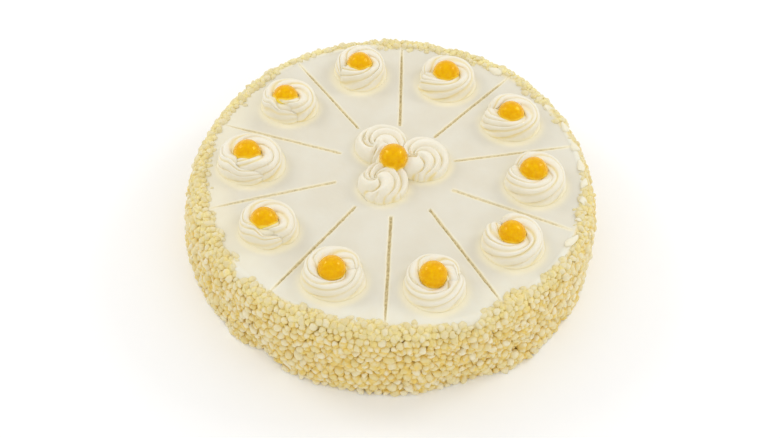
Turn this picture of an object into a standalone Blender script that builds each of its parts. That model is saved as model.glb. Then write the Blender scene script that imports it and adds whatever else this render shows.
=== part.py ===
"""A round limoncello mascarpone cake, marked into ten slices and not cut.

The cake stands on z = 0 with its axis on +Z, and its front looks along -Y. Smooth icing covers
the top. White chocolate nuggets coat the side and creep over the rim. Each slice carries a piped
rosette with a glossy ball in its middle, and three smaller swirls hold one more ball at the centre.
Tables are in millimetres and degrees, bearings run counter-clockwise from +X seen from above, and
everything that is built is in metres.
"""

import math
import random

import bmesh
import bpy
from mathutils import Matrix, Vector

MM = 0.001
GAP = 0.3 * MM                     # air left between pieces that touch

# The cake under its toppings
ICING_TOP = 56.0 * MM
SIDE_RADIUS = 129.7 * MM           # mean surface of the nugget coat on the side
SHOULDER_HEIGHT = 44.5 * MM        # where the side starts to turn in
SHOULDER_TOP = 57.0 * MM           # mean surface of the coat on the rim
SHOULDER_RADIUS = 121.5 * MM       # where the rounded shoulder meets the flat top

# The nugget coat, as bumps of a nugget's size
NUGGET = 4.6 * MM
BUMP_COLUMNS = 200                 # an even number, so that high and low points alternate all round
SIDE_ROWS = 11
SHOULDER_ROWS = 4
BUMP_HIGH = (0.2 * MM, 1.3 * MM)
BUMP_LOW = (0.6 * MM, 1.5 * MM)
PLACE_JITTER = 0.27                # share of a lattice step
RIM_INSIDE = 123.5 * MM            # inside this radius no crease goes below the icing
RIM_LOW_POINT = ICING_TOP + 0.4 * MM
# Radius of the bare icing at every half slice, where the nuggets stop creeping inwards
ICING_EDGE_MM = (119, 119, 118, 118.5, 118, 116.5, 119, 119, 116.5, 115.5,
                 114.5, 116, 117, 116.5, 116, 116.5, 119, 117, 119, 118.5)
EDGE_JITTER = 0.9 * MM
LOOSE_NUGGETS = 38                 # whole nuggets that lie on the icing inside the rim
LOOSE_REACH = (-0.6 * MM, 3.2 * MM)

# Portion marks: bearing at the rim, bearing and radius of the inner end, width
MARK_DEPTH = 2.6 * MM
MARK_RIM_MM = 117.0
BLADE_OVERRUN = 18.0 * MM          # how far the blade runs on past the rim
BLADE_HEIGHT = 4.0 * MM            # how far it stands above the icing
BLADE_TAPER = 0.6                  # width lost from the icing down to the edge, as a share
MARKS = (
    (14.9, 18.9, 41.9, 1.0),
    (50.9, 52.2, 43.5, 1.6),
    (88.4, 85.1, 44.2, 1.6),
    (123.8, 120.5, 46.3, 1.1),
    (160.9, 153.7, 37.9, 1.0),
    (197.2, 193.4, 36.8, 1.0),
    (234.7, 232.2, 36.4, 1.6),
    (269.5, 270.2, 35.8, 1.8),
    (304.2, 309.8, 37.6, 1.6),
    (339.8, 343.3, 40.0, 1.1),
)

# Balls
BALL_RADIUS = 9.0 * MM
RING_BALL_HEIGHT = 10.4 * MM       # centre of a ball above the icing
CENTRE_BALL_MM = (0.2, 2.5, 13.0)  # x, y and height above the icing

# Piped rosettes: an open star nozzle leaves RIDGES ridges that wind inwards counter-clockwise
RIDGES = 7
RIDGE_STEP = math.pi / RIDGES      # from a crest to the next crease, round the rope and round the ring
ROPE_MIDDLE = 5.3 * MM             # height of the rope's middle above the rosette's base
ROPE_TOP = 12.5 * MM               # height of its crest
CREASE = 0.76                      # how far out a crease lies, as a share of a crest
RIDGE_JITTER = 0.05
CUP_RADIUS = BALL_RADIUS + 0.7 * MM
CUP_ROWS_MM = (7.2, 3.9)           # radii of the cup's lower rings under the ball
# Ring rosettes: radius and bearing of the middle, half widths along x and y, ball's offset, height
RING_ROSETTES = (
    (90.8, 33.2, 20.0, 19.2, -0.6, -2.2, 12.4),
    (90.9, 68.1, 20.2, 19.4, -0.7, -0.4, 12.2),
    (94.0, 105.0, 18.2, 19.2, -0.3, -1.5, 12.6),
    (89.8, 140.6, 19.2, 17.8, -2.2, -1.8, 12.8),
    (89.8, 178.0, 22.0, 19.7, -1.8, 0.5, 12.6),
    (89.2, 214.0, 18.9, 17.6, -2.0, -1.8, 12.2),
    (91.9, 249.4, 20.0, 18.8, -1.0, -0.9, 12.5),
    (94.2, 287.0, 19.4, 19.4, -1.6, 1.8, 12.3),
    (92.8, 323.2, 19.8, 19.4, -1.2, 0.9, 12.6),
    (90.1, 357.7, 20.0, 20.4, -1.8, 1.5, 12.5),
)
# Centre swirls: x and y of the middle, half widths along x and y, x and y of the curl on top
CENTRE_SWIRLS = (
    (-6.5, 22.0, 17.2, 16.4, -8.0, 21.0),
    (18.2, 9.6, 17.2, 17.6, 16.0, 6.5),
    (-5.4, -11.5, 16.2, 16.8, -8.5, -13.0),
)
SWIRL_DIP = 0.3                    # how far the middle sinks below the crest, as a share of the rope
SWIRL_CURL = 1.6 * MM              # the last curl stands this far above the dip
SQUEEZE_DEPTH = 5.0 * MM           # swirls that meet are pressed flat over this depth


def clear_scene():
    """Start from an empty file."""
    for obj in list(bpy.data.objects):
        bpy.data.objects.remove(obj, do_unlink=True)


def plain_material(name, colour, roughness):
    """A Principled material with one colour."""
    made = bpy.data.materials.new(name)
    made.use_nodes = True
    shader = made.node_tree.nodes["Principled BSDF"]
    shader.inputs["Base Color"].default_value = (*colour, 1.0)
    shader.inputs["Roughness"].default_value = roughness
    shader.inputs["Metallic"].default_value = 0.0
    return made


def coat_material():
    """Pale yellow crunch of white chocolate."""
    return plain_material("nugget_coat", (0.80, 0.69, 0.40), 0.55)


def icing_material():
    """Ivory icing on the flat top."""
    return plain_material("icing", (0.80, 0.77, 0.67), 0.60)


def cream_material():
    """Piped cream, a little whiter than the icing."""
    return plain_material("cream", (0.86, 0.83, 0.74), 0.50)


def ball_material():
    """Orange-yellow glazed ball."""
    return plain_material("lemon_ball", (0.83, 0.42, 0.02), 0.15)


def new_object(name, bm, *materials):
    """Turn a bmesh into a named object with its materials."""
    mesh = bpy.data.meshes.new(name)
    bm.to_mesh(mesh)
    bm.free()
    obj = bpy.data.objects.new(name, mesh)
    for made in materials:
        mesh.materials.append(made)
    bpy.context.scene.collection.objects.link(obj)
    return obj


def polar(radius, bearing_deg):
    """A point on the plan, from a radius in millimetres and a bearing."""
    angle = math.radians(bearing_deg)
    return Vector((radius * math.cos(angle), radius * math.sin(angle))) * MM


def icing_edge(angle):
    """Radius at which the nuggets stop, eased between the values of the half slices."""
    place = angle / math.tau * len(ICING_EDGE_MM)
    low = math.floor(place)
    blend = 0.5 - 0.5 * math.cos(math.pi * (place - low))
    first = ICING_EDGE_MM[low % len(ICING_EDGE_MM)]
    second = ICING_EDGE_MM[(low + 1) % len(ICING_EDGE_MM)]
    return (first + (second - first) * blend) * MM


def coat_place(row, edge):
    """Mean place and outward direction of the coat at a row, up the side and over the shoulder."""
    if row <= SIDE_ROWS:
        return SIDE_RADIUS, SHOULDER_HEIGHT * row / SIDE_ROWS, 1.0, 0.0
    turn = min(row - SIDE_ROWS, SHOULDER_ROWS) / SHOULDER_ROWS * math.pi / 2
    wide = SIDE_RADIUS - SHOULDER_RADIUS
    high = SHOULDER_TOP - SHOULDER_HEIGHT
    radius = SHOULDER_RADIUS + wide * math.cos(turn)
    height = SHOULDER_HEIGHT + high * math.sin(turn)
    over = max(row - SIDE_ROWS - SHOULDER_ROWS, 0)
    radius += (edge - radius) * over / 2
    outward = Vector((high * math.cos(turn), wide * math.sin(turn))).normalized()
    return radius, height, outward.x, outward.y


def coat_vertex(row, column, last, rng):
    """One point of the bumpy coat: high and low points alternate like a chessboard."""
    step = math.tau / BUMP_COLUMNS
    sideways = rng.uniform(-PLACE_JITTER, PLACE_JITTER)
    along = rng.uniform(-PLACE_JITTER, PLACE_JITTER)
    angle = (column + sideways) * step
    edge = icing_edge(angle) + rng.uniform(-EDGE_JITTER, EDGE_JITTER)
    if row == last:
        return Vector((edge * math.cos(angle), edge * math.sin(angle), ICING_TOP))
    place = row if row == 0 else row + along
    radius, height, out_r, out_z = coat_place(place, edge)
    is_high = (row + column) % 2 == 0
    push = rng.uniform(*BUMP_HIGH) if is_high else -rng.uniform(*BUMP_LOW)
    radius += push * out_r
    height += push * out_z
    if row == 0:
        height = 0.0
    if radius < RIM_INSIDE:
        height = max(height, RIM_LOW_POINT)
    return Vector((radius * math.cos(angle), radius * math.sin(angle), height))


def coated_body():
    """The cake's body: a flat foot, the bumpy coat and the flat icing inside it."""
    rng = random.Random(11)
    last = SIDE_ROWS + SHOULDER_ROWS + 2
    bm = bmesh.new()
    rows = []
    for row in range(last + 1):
        points = [coat_vertex(row, column, last, rng) for column in range(BUMP_COLUMNS)]
        rows.append([bm.verts.new(point) for point in points])
    for row in range(last):
        for column in range(BUMP_COLUMNS):
            after = (column + 1) % BUMP_COLUMNS
            a = rows[row][column]
            b = rows[row][after]
            c = rows[row + 1][after]
            d = rows[row + 1][column]
            if (row + column) % 2 == 0:
                bm.faces.new((a, b, d))
                bm.faces.new((b, c, d))
            else:
                bm.faces.new((a, b, c))
                bm.faces.new((a, c, d))
    bm.faces.new(list(reversed(rows[0])))
    bm.faces.new(rows[last]).material_index = 1
    return new_object("cake", bm, coat_material(), icing_material())


def nugget_is_clear(spot):
    """True where a loose nugget stays off every rosette."""
    for radius, bearing, half_x, half_y, *_ in RING_ROSETTES:
        middle = polar(radius, bearing)
        if (spot - middle).length < max(half_x, half_y) * MM + 0.8 * NUGGET:
            return False
    return True


def loose_nugget(name, spot, rng):
    """One whole nugget, a squat uneven lump sunk a little into what it lies on."""
    bm = bmesh.new()
    bmesh.ops.create_icosphere(bm, subdivisions=1, radius=NUGGET / 2)
    for vert in bm.verts:
        vert.co *= rng.uniform(0.9, 1.2)
    turn = Matrix.Rotation(rng.uniform(0, math.tau), 3, "Z")
    lean = Matrix.Rotation(rng.uniform(-0.6, 0.6), 3, "X")
    squat = Matrix.Diagonal((rng.uniform(0.95, 1.15), 1.0, 0.8))
    bmesh.ops.transform(bm, matrix=(squat @ turn @ lean).to_4x4(), verts=bm.verts)
    lift = ICING_TOP + rng.uniform(0.22, 0.34) * NUGGET
    bmesh.ops.translate(bm, vec=(spot.x, spot.y, lift), verts=bm.verts)
    return new_object(name, bm)


def loose_nuggets():
    """Whole nuggets spread all round, just inside the rim."""
    rng = random.Random(5)
    made = []
    for index in range(LOOSE_NUGGETS):
        angle = (index + rng.uniform(0.1, 0.9)) / LOOSE_NUGGETS * math.tau
        radius = icing_edge(angle) - rng.uniform(*LOOSE_REACH)
        spot = Vector((math.cos(angle), math.sin(angle))) * radius
        if nugget_is_clear(spot):
            made.append(loose_nugget(f"nugget_{index}", spot, rng))
    return made


def mark_blade(index, bearing, inner_bearing, inner_radius, width):
    """The blade that presses one portion mark: narrow below, wider above."""
    inner = polar(inner_radius, inner_bearing)
    outer = polar(MARK_RIM_MM, bearing)
    along = (outer - inner).normalized()
    across = Vector((-along.y, along.x))
    end = outer + along * BLADE_OVERRUN
    levels = []
    for height in (-MARK_DEPTH, BLADE_HEIGHT):
        half = 0.5 * width * MM * (1 + BLADE_TAPER * height / MARK_DEPTH)
        corners = (inner - across * half, end - across * half, end + across * half, inner + across * half)
        levels.append([Vector((spot.x, spot.y, ICING_TOP + height)) for spot in corners])
    bm = bmesh.new()
    low, high = [[bm.verts.new(point) for point in level] for level in levels]
    bm.faces.new(list(reversed(low)))
    bm.faces.new(high)
    for k in range(4):
        after = (k + 1) % 4
        bm.faces.new((low[k], low[after], high[after], high[k]))
    return new_object(f"blade_{index}", bm)


def apply_boolean(obj, operation, others):
    """Join the others to an object or cut them out of it, in one Boolean, and remove them."""
    group = bpy.data.collections.new("boolean_group")
    bpy.context.scene.collection.children.link(group)
    for other in others:
        bpy.context.scene.collection.objects.unlink(other)
        group.objects.link(other)
    modifier = obj.modifiers.new(operation.lower(), "BOOLEAN")
    modifier.operation = operation
    modifier.operand_type = "COLLECTION"
    modifier.collection = group
    modifier.solver = "EXACT"
    graph = bpy.context.evaluated_depsgraph_get()
    result = bpy.data.meshes.new_from_object(obj.evaluated_get(graph))
    obj.modifiers.clear()
    obj.data = result
    for other in others:
        bpy.data.objects.remove(other, do_unlink=True)
    bpy.data.collections.remove(group)


def drop_scraps(obj):
    """Keep an object's largest body, and drop what a cut left loose."""
    bm = bmesh.new()
    bm.from_mesh(obj.data)
    left = set(bm.verts)
    bodies = []
    while left:
        body = []
        front = [left.pop()]
        while front:
            vert = front.pop()
            body.append(vert)
            for edge in vert.link_edges:
                other = edge.other_vert(vert)
                if other in left:
                    left.remove(other)
                    front.append(other)
        bodies.append(body)
    bodies.sort(key=len)
    scraps = [vert for body in bodies[:-1] for vert in body]
    bmesh.ops.delete(bm, geom=scraps, context="VERTS")
    bm.to_mesh(obj.data)
    bm.free()


def build_cake():
    """The body with its loose nuggets fused on and the portion marks pressed in."""
    cake = coated_body()
    apply_boolean(cake, "UNION", loose_nuggets())
    blades = [mark_blade(index, *mark) for index, mark in enumerate(MARKS)]
    apply_boolean(cake, "DIFFERENCE", blades)
    drop_scraps(cake)
    cake.data.name = "cake"


def bridge(bm, rows):
    """Join rings of equal length. Every quad is split along the ridges."""
    for lower, upper in zip(rows, rows[1:]):
        for column, start in enumerate(lower):
            after = (column + 1) % len(lower)
            bm.faces.new((start, lower[after], upper[after]))
            bm.faces.new((start, upper[after], upper[column]))


def rope_ring(bm, row, base, outline, rng):
    """One ring of points round a rosette. outline gives the outer and inner edge at an angle."""
    turn = (row - 1.5) * RIDGE_STEP
    ring = []
    for column in range(2 * RIDGES):
        angle = column * RIDGE_STEP
        outer, inner, crest, dip = outline(angle)
        reach = 1.0 if (row + column) % 2 == 0 else CREASE
        reach *= 1 + rng.uniform(-RIDGE_JITTER, RIDGE_JITTER)
        middle = (outer + inner) / 2
        spot = middle + (outer - middle) * math.cos(turn) * reach
        rise = math.sin(turn)
        if turn > math.pi / 2:
            rise = 1 - (1 - rise) * dip
        height = ROPE_MIDDLE + (crest - ROPE_MIDDLE) * rise * reach
        if row == 0:
            height = 0.0
        ring.append(bm.verts.new((spot.x, spot.y, base + height)))
    return ring


def close_swirl(bm, rows, last_point):
    """Join the rings, close the top on one point and leave the underside flat."""
    bridge(bm, rows)
    top = bm.verts.new(last_point)
    ring = rows[-1]
    for column, start in enumerate(ring):
        bm.faces.new((start, ring[(column + 1) % len(ring)], top))
    bm.faces.new(list(reversed(rows[0])))


def ring_rosette(name, spec, cream):
    """A ring of ridged rope round a cup that holds a ball."""
    radius, bearing, half_x, half_y, ball_x, ball_y, crest = spec
    middle = polar(radius, bearing)
    ball = middle + Vector((ball_x, ball_y)) * MM
    base = ICING_TOP + GAP
    ball_height = ICING_TOP + RING_BALL_HEIGHT
    rng = random.Random(int(bearing))

    def outline(angle):
        out = Vector((math.cos(angle), math.sin(angle)))
        outer = middle + Vector((half_x * out.x, half_y * out.y)) * MM
        return outer, ball + out * CUP_RADIUS, crest * MM, 1.0

    bm = bmesh.new()
    rows = [rope_ring(bm, row, base, outline, rng) for row in range(RIDGES + 2)]
    for cup_mm in CUP_ROWS_MM:
        cup = cup_mm * MM
        height = ball_height - math.sqrt(CUP_RADIUS ** 2 - cup ** 2)
        ring = []
        for column in range(2 * RIDGES):
            angle = column * RIDGE_STEP
            spot = ball + Vector((math.cos(angle), math.sin(angle))) * cup
            ring.append(bm.verts.new((spot.x, spot.y, height)))
        rows.append(ring)
    floor = (ball.x, ball.y, ball_height - BALL_RADIUS - 1.5 * GAP)
    close_swirl(bm, rows, floor)
    new_object(name, bm, cream)
    return Vector((ball.x, ball.y, ball_height))


def squeeze(point, own, others):
    """Press a point back from the walls where a swirl meets its neighbours."""
    for other in others:
        apart = other - own
        across = apart.normalized()
        wall = apart.length / 2 - GAP / 2
        place = (point.xy - own).dot(across)
        start = wall - SQUEEZE_DEPTH
        if place > start:
            pressed = start + SQUEEZE_DEPTH * (1 - math.exp((start - place) / SQUEEZE_DEPTH))
            point.xy += across * (pressed - place)
    return point


def centre_swirl(name, index, cream):
    """A swirl whose ridges wind in to a small curl on top."""
    x, y, half_x, half_y, curl_x, curl_y = CENTRE_SWIRLS[index]
    middle = Vector((x, y)) * MM
    curl = Vector((curl_x, curl_y)) * MM
    others = [Vector(spec[:2]) * MM for k, spec in enumerate(CENTRE_SWIRLS) if k != index]
    base = ICING_TOP + GAP
    rng = random.Random(index)

    def outline(angle):
        out = Vector((math.cos(angle), math.sin(angle)))
        outer = middle + Vector((half_x * out.x, half_y * out.y)) * MM
        return outer, curl - out * 0.5 * MM, ROPE_TOP, SWIRL_DIP

    bm = bmesh.new()
    rows = [rope_ring(bm, row, base, outline, rng) for row in range(RIDGES + 1)]
    dip = ROPE_MIDDLE + (ROPE_TOP - ROPE_MIDDLE) * (1 - SWIRL_DIP)
    close_swirl(bm, rows, (curl.x, curl.y, base + dip + SWIRL_CURL))
    for vert in bm.verts:
        vert.co = squeeze(vert.co.copy(), middle, others)
    return new_object(name, bm, cream)


def ball(name, centre, radius, *materials):
    """A ball, or the slightly larger one that cuts its seat."""
    bm = bmesh.new()
    bmesh.ops.create_icosphere(bm, subdivisions=2, radius=radius)
    bmesh.ops.translate(bm, vec=centre, verts=bm.verts)
    return new_object(name, bm, *materials)


def build_decorations():
    """Ten ring rosettes, three centre swirls, and a ball in each ring and at the centre."""
    cream = cream_material()
    glaze = ball_material()
    centres = []
    for index, spec in enumerate(RING_ROSETTES):
        centres.append(ring_rosette(f"rosette_{index + 1:02d}", spec, cream))
    middle = Vector(CENTRE_BALL_MM) * MM + Vector((0, 0, ICING_TOP))
    for index in range(len(CENTRE_SWIRLS)):
        swirl = centre_swirl(f"centre_rosette_{index + 1}", index, cream)
        seat = ball("seat", middle, BALL_RADIUS + 1.2 * GAP)
        apply_boolean(swirl, "DIFFERENCE", [seat])
        drop_scraps(swirl)
    centres.append(middle)
    for index, centre in enumerate(centres):
        ball(f"ball_{index + 1:02d}", centre, BALL_RADIUS, glaze)


def shade_smooth_all():
    """Smooth shading on the round pieces, with creases and marks kept sharp."""
    for obj in bpy.data.objects:
        obj.data.shade_smooth()
        obj.data.set_sharp_from_angle(angle=math.radians(50))


clear_scene()
build_cake()
build_decorations()
shade_smooth_all()
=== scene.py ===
# %% [markdown]
# # Dressing a limoncello mascarpone cake
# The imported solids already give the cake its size, its ten portions and the place of each rosette
# and ball. In this lesson each solid gets the surface of the real thing: smooth icing with pressed
# portion marks, a coat of white chocolate nuggets, piped cream with deep ridges, and glazed balls.
# Everything is in metres, in the frame of the solids, with the cake's axis on +Z.

import math

import bmesh
import bpy
import numpy as np
from mathutils import Matrix, Vector, kdtree, noise


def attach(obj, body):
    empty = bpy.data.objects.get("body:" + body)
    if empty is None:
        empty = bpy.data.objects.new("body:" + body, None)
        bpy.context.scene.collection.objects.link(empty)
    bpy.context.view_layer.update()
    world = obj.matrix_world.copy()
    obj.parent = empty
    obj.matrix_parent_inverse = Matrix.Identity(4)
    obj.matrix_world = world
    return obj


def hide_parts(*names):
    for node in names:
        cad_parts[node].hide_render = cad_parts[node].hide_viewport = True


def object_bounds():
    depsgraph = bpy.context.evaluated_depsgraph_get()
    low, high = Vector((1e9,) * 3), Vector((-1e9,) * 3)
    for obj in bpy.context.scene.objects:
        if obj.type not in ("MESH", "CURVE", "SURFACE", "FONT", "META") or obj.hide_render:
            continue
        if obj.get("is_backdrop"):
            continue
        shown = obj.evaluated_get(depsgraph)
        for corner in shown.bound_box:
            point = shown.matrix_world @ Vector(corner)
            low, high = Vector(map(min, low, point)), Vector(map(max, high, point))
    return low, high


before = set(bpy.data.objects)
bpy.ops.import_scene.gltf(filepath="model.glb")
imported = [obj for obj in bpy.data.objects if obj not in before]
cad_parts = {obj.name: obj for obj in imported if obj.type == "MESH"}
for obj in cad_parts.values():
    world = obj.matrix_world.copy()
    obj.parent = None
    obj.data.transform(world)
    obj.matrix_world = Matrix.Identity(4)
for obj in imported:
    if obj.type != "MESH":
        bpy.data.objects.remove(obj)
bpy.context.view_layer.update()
MM = 0.001

# %% [markdown]
# ## The camera
# The cake was photographed from in front and well above, with a long lens. A camera can be set by
# eye, but it is surer to work back from known shapes: the round foot of the cake and the eleven
# equal balls fix both its place and its lens. Three directions keep a small roll better than angles.

# %% Camera
FRAME_WIDTH_PX = 780
LENS_PX = 1357.6
CAMERA_PLACE = (0.0, -0.5839, 0.68488)
camera_data = bpy.data.cameras.new("studio_camera")
camera_data.sensor_width = 36.0
camera_data.lens = LENS_PX / FRAME_WIDTH_PX * camera_data.sensor_width
camera = bpy.data.objects.new("studio_camera", camera_data)
bpy.context.scene.collection.objects.link(camera)
look = Vector((-0.0005, 0.65587, -0.75487)).normalized()
up = Vector((-0.03807, 0.75431, 0.65541))
right = look.cross(up).normalized()
up = right.cross(look)
turned = Matrix((right, up, -look)).transposed().to_4x4()
camera.matrix_world = Matrix.Translation(CAMERA_PLACE) @ turned
bpy.context.scene.camera = camera
print("lens in mm:", round(camera_data.lens, 1))

# %% [markdown]
# ## Small helpers
# Most pieces here are grids: rings of points that follow a profile or a path. NumPy works out all
# the points of a grid at once, which is far quicker than placing them one by one. Real food is
# never regular, so another helper gives smooth noise, which is the same at every run.

# %% Helpers for grids and unevenness
def ring_faces(rings, columns):
    """Quads between rings of points that close on themselves."""
    ring, column = np.meshgrid(np.arange(rings - 1), np.arange(columns), indexing="ij")
    after = (column + 1) % columns
    below, above = ring * columns, (ring + 1) * columns
    corners = (below + column, below + after, above + after, above + column)
    return np.stack([corner.ravel() for corner in corners], axis=1)


def fan_faces(centre, ring):
    """Triangles from one point to a closed ring of points, in the order given."""
    return np.stack([np.full(len(ring), centre), ring, np.roll(ring, -1)], axis=1)


def mesh_piece(name, points, face_groups, material, **marks):
    """A smooth mesh object. Each mark is one number a point that its material reads."""
    mesh = bpy.data.meshes.new(name)
    corners = np.concatenate([group.ravel() for group in face_groups]).astype(np.int32)
    sides = np.concatenate([np.full(len(group), group.shape[1]) for group in face_groups])
    starts = np.concatenate([[0], np.cumsum(sides)[:-1]]).astype(np.int32)
    mesh.vertices.add(len(points))
    mesh.vertices.foreach_set("co", np.asarray(points, np.float32).ravel())
    mesh.loops.add(len(corners))
    mesh.loops.foreach_set("vertex_index", corners)
    mesh.polygons.add(len(starts))
    mesh.polygons.foreach_set("loop_start", starts)
    mesh.update(calc_edges=True)
    mesh.shade_smooth()
    for mark, values in marks.items():
        layer = mesh.attributes.new(mark, "FLOAT", "POINT")
        layer.data.foreach_set("value", np.asarray(values, np.float32))
    mesh.materials.append(material)
    piece = bpy.data.objects.new(name, mesh)
    bpy.context.scene.collection.objects.link(piece)
    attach(piece, "root")
    return piece


def rough(points, size, seed):
    """Smooth noise at each point, about -0.7 to 0.7. size is the distance over which it changes."""
    shift = Vector((seed * 7.3, seed * 3.1, seed * 5.7))
    return np.array([noise.noise(Vector(point) / size + shift) for point in points])


def ease(value):
    """Slow in and slow out from 0 to 1."""
    value = np.clip(value, 0.0, 1.0)
    return value * value * (3 - 2 * value)


def hill(off, half):
    """1 in the middle, falling off smoothly on both sides."""
    return np.exp(-(off / half) ** 2)


def directions(bearing):
    """Arrows of length 1 on the plan, at bearings in radians."""
    return np.stack([np.cos(bearing), np.sin(bearing)], axis=1)


def degrees_off(degrees, middle):
    """How far one bearing in degrees is from another, from -180 to 180."""
    return (degrees - middle + 180) % 360 - 180


def copies(faces, point_count, count):
    """The faces of so many copies of a mesh in one, each copy with this many points."""
    return (faces[None] + np.arange(count)[:, None, None] * point_count).reshape(-1, 4)


def finder(spots):
    """A tree that finds the nearest of these spots."""
    tree = kdtree.KDTree(len(spots))
    for index, spot in enumerate(spots):
        tree.insert(spot, index)
    tree.balance()
    return tree


def triangles(piece):
    return sum(len(polygon.vertices) - 2 for polygon in piece.data.polygons)


print("helpers ready")

# %% [markdown]
# ## Shared shader groups
# Icing, cream, nuggets and glaze have two things in common: their colour drifts a little from place
# to place, and their skin has a fine unevenness. Each is a node group, built once and then used in
# every material with its own numbers. The groups put out a colour or a height only, and the shader
# itself stays in the material.

# %% Node helpers
def link(tree, source, target):
    tree.links.new(source, target)


def add(tree, kind, **values):
    """A node with its properties set."""
    node = tree.nodes.new(kind)
    for name, value in values.items():
        setattr(node, name, value)
    return node


def srgb(red, green, blue):
    """A colour given as it looks on screen, from 0 to 255, in the linear form that shaders use."""
    linear = [((c / 255 + 0.055) / 1.055) ** 2.4 if c > 10 else c / 255 / 12.92 for c in (red, green, blue)]
    return (*linear, 1.0)


def mixed(tree, factor, first, second):
    """One colour over another. Each is a socket, or a fixed colour as it looks on screen."""
    node = add(tree, "ShaderNodeMix", data_type="RGBA")
    link(tree, factor, node.inputs["Factor"])
    for label, colour in (("A", first), ("B", second)):
        if isinstance(colour, bpy.types.NodeSocket):
            link(tree, colour, node.inputs[label])
        else:
            node.inputs[label].default_value = srgb(*colour)
    return node.outputs["Result"]


def group(name, inputs, output, kind):
    """A new group with its sockets. Returns it, its two ends and the place of the point."""
    tree = bpy.data.node_groups.new(name, "ShaderNodeTree")
    for label, socket in inputs.items():
        tree.interface.new_socket(name=label, in_out="INPUT", socket_type=socket)
    tree.interface.new_socket(name=output, in_out="OUTPUT", socket_type=kind)
    enter, leave = add(tree, "NodeGroupInput"), add(tree, "NodeGroupOutput")
    return tree, enter, leave.inputs[output], add(tree, "ShaderNodeTexCoord").outputs["Object"]


def noise_of_size(tree, size, place, detail):
    """Noise that changes over the distance which a socket gives."""
    per_metre = add(tree, "ShaderNodeMath", operation="DIVIDE")
    per_metre.inputs[0].default_value = 1.0
    layer = add(tree, "ShaderNodeTexNoise")
    layer.inputs["Detail"].default_value = detail
    link(tree, size, per_metre.inputs[1])
    link(tree, per_metre.outputs[0], layer.inputs["Scale"])
    link(tree, place, layer.inputs["Vector"])
    return layer.outputs["Fac"]


COLOUR, NUMBER = "NodeSocketColor", "NodeSocketFloat"
print("icing in linear numbers:", [round(c, 3) for c in srgb(226, 221, 205)])

# %% The drifting colour
drift, enter, leave, place = group(
    "drifting_colour", {"Main": COLOUR, "Second": COLOUR, "Size": NUMBER, "Amount": NUMBER}, "Colour", COLOUR)
contrast = add(drift, "ShaderNodeMapRange")
contrast.inputs["From Min"].default_value = 0.35
contrast.inputs["From Max"].default_value = 0.65
share = add(drift, "ShaderNodeMath", operation="MULTIPLY")
link(drift, noise_of_size(drift, enter.outputs["Size"], place, 3.0), contrast.inputs["Value"])
link(drift, contrast.outputs["Result"], share.inputs[0])
link(drift, enter.outputs["Amount"], share.inputs[1])
link(drift, mixed(drift, share.outputs[0], enter.outputs["Main"], enter.outputs["Second"]), leave)
print("group:", drift.name)

# %% The uneven skin
skin, enter, leave, place = group(
    "uneven_skin", {"Broad size": NUMBER, "Fine size": NUMBER, "Fine share": NUMBER}, "Height", NUMBER)
both = add(skin, "ShaderNodeMix", data_type="FLOAT")
link(skin, enter.outputs["Fine share"], both.inputs["Factor"])
for label, side in (("Broad size", "A"), ("Fine size", "B")):
    link(skin, noise_of_size(skin, enter.outputs[label], place, 2.0), both.inputs[side])
link(skin, both.outputs["Result"], leave)
print("group:", skin.name)

# %% Starting a material
def food_material(name, roughness, specular, sss, sss_radius_mm, bump_mm, broad_mm, fine_mm, fine_share):
    """A Principled material with the uneven skin on it. Returns the material, its tree and its shader."""
    made = bpy.data.materials.new(name)
    made.use_nodes = True
    tree = made.node_tree
    shader = tree.nodes["Principled BSDF"]
    shader.inputs["Roughness"].default_value = roughness
    shader.inputs["Specular IOR Level"].default_value = specular
    shader.inputs["Subsurface Weight"].default_value = sss
    shader.inputs["Subsurface Radius"].default_value = (1.0, 0.92, 0.8)
    shader.inputs["Subsurface Scale"].default_value = sss_radius_mm * MM
    relief = add(tree, "ShaderNodeGroup", node_tree=skin)
    relief.inputs["Broad size"].default_value = broad_mm * MM
    relief.inputs["Fine size"].default_value = fine_mm * MM
    relief.inputs["Fine share"].default_value = fine_share
    bump = add(tree, "ShaderNodeBump")
    bump.inputs["Strength"].default_value = 1.0
    bump.inputs["Distance"].default_value = bump_mm * MM
    link(tree, relief.outputs["Height"], bump.inputs["Height"])
    link(tree, bump.outputs["Normal"], shader.inputs["Normal"])
    return made, tree, shader


def drifting(tree, main, second, size_mm, amount):
    """The drifting colour placed in a material's tree."""
    node = add(tree, "ShaderNodeGroup", node_tree=drift)
    node.inputs["Main"].default_value = srgb(*main)
    node.inputs["Second"].default_value = srgb(*second)
    node.inputs["Size"].default_value = size_mm * MM
    node.inputs["Amount"].default_value = amount
    return node.outputs["Colour"]


def layered(tree, colour, *layers):
    """A colour with others laid over it, each as much as the mesh says by its mark."""
    for mark, over in layers:
        mark_node = add(tree, "ShaderNodeAttribute", attribute_name=mark)
        colour = mixed(tree, mark_node.outputs["Fac"], colour, over)
    return colour


print("ready to make materials")
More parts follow.
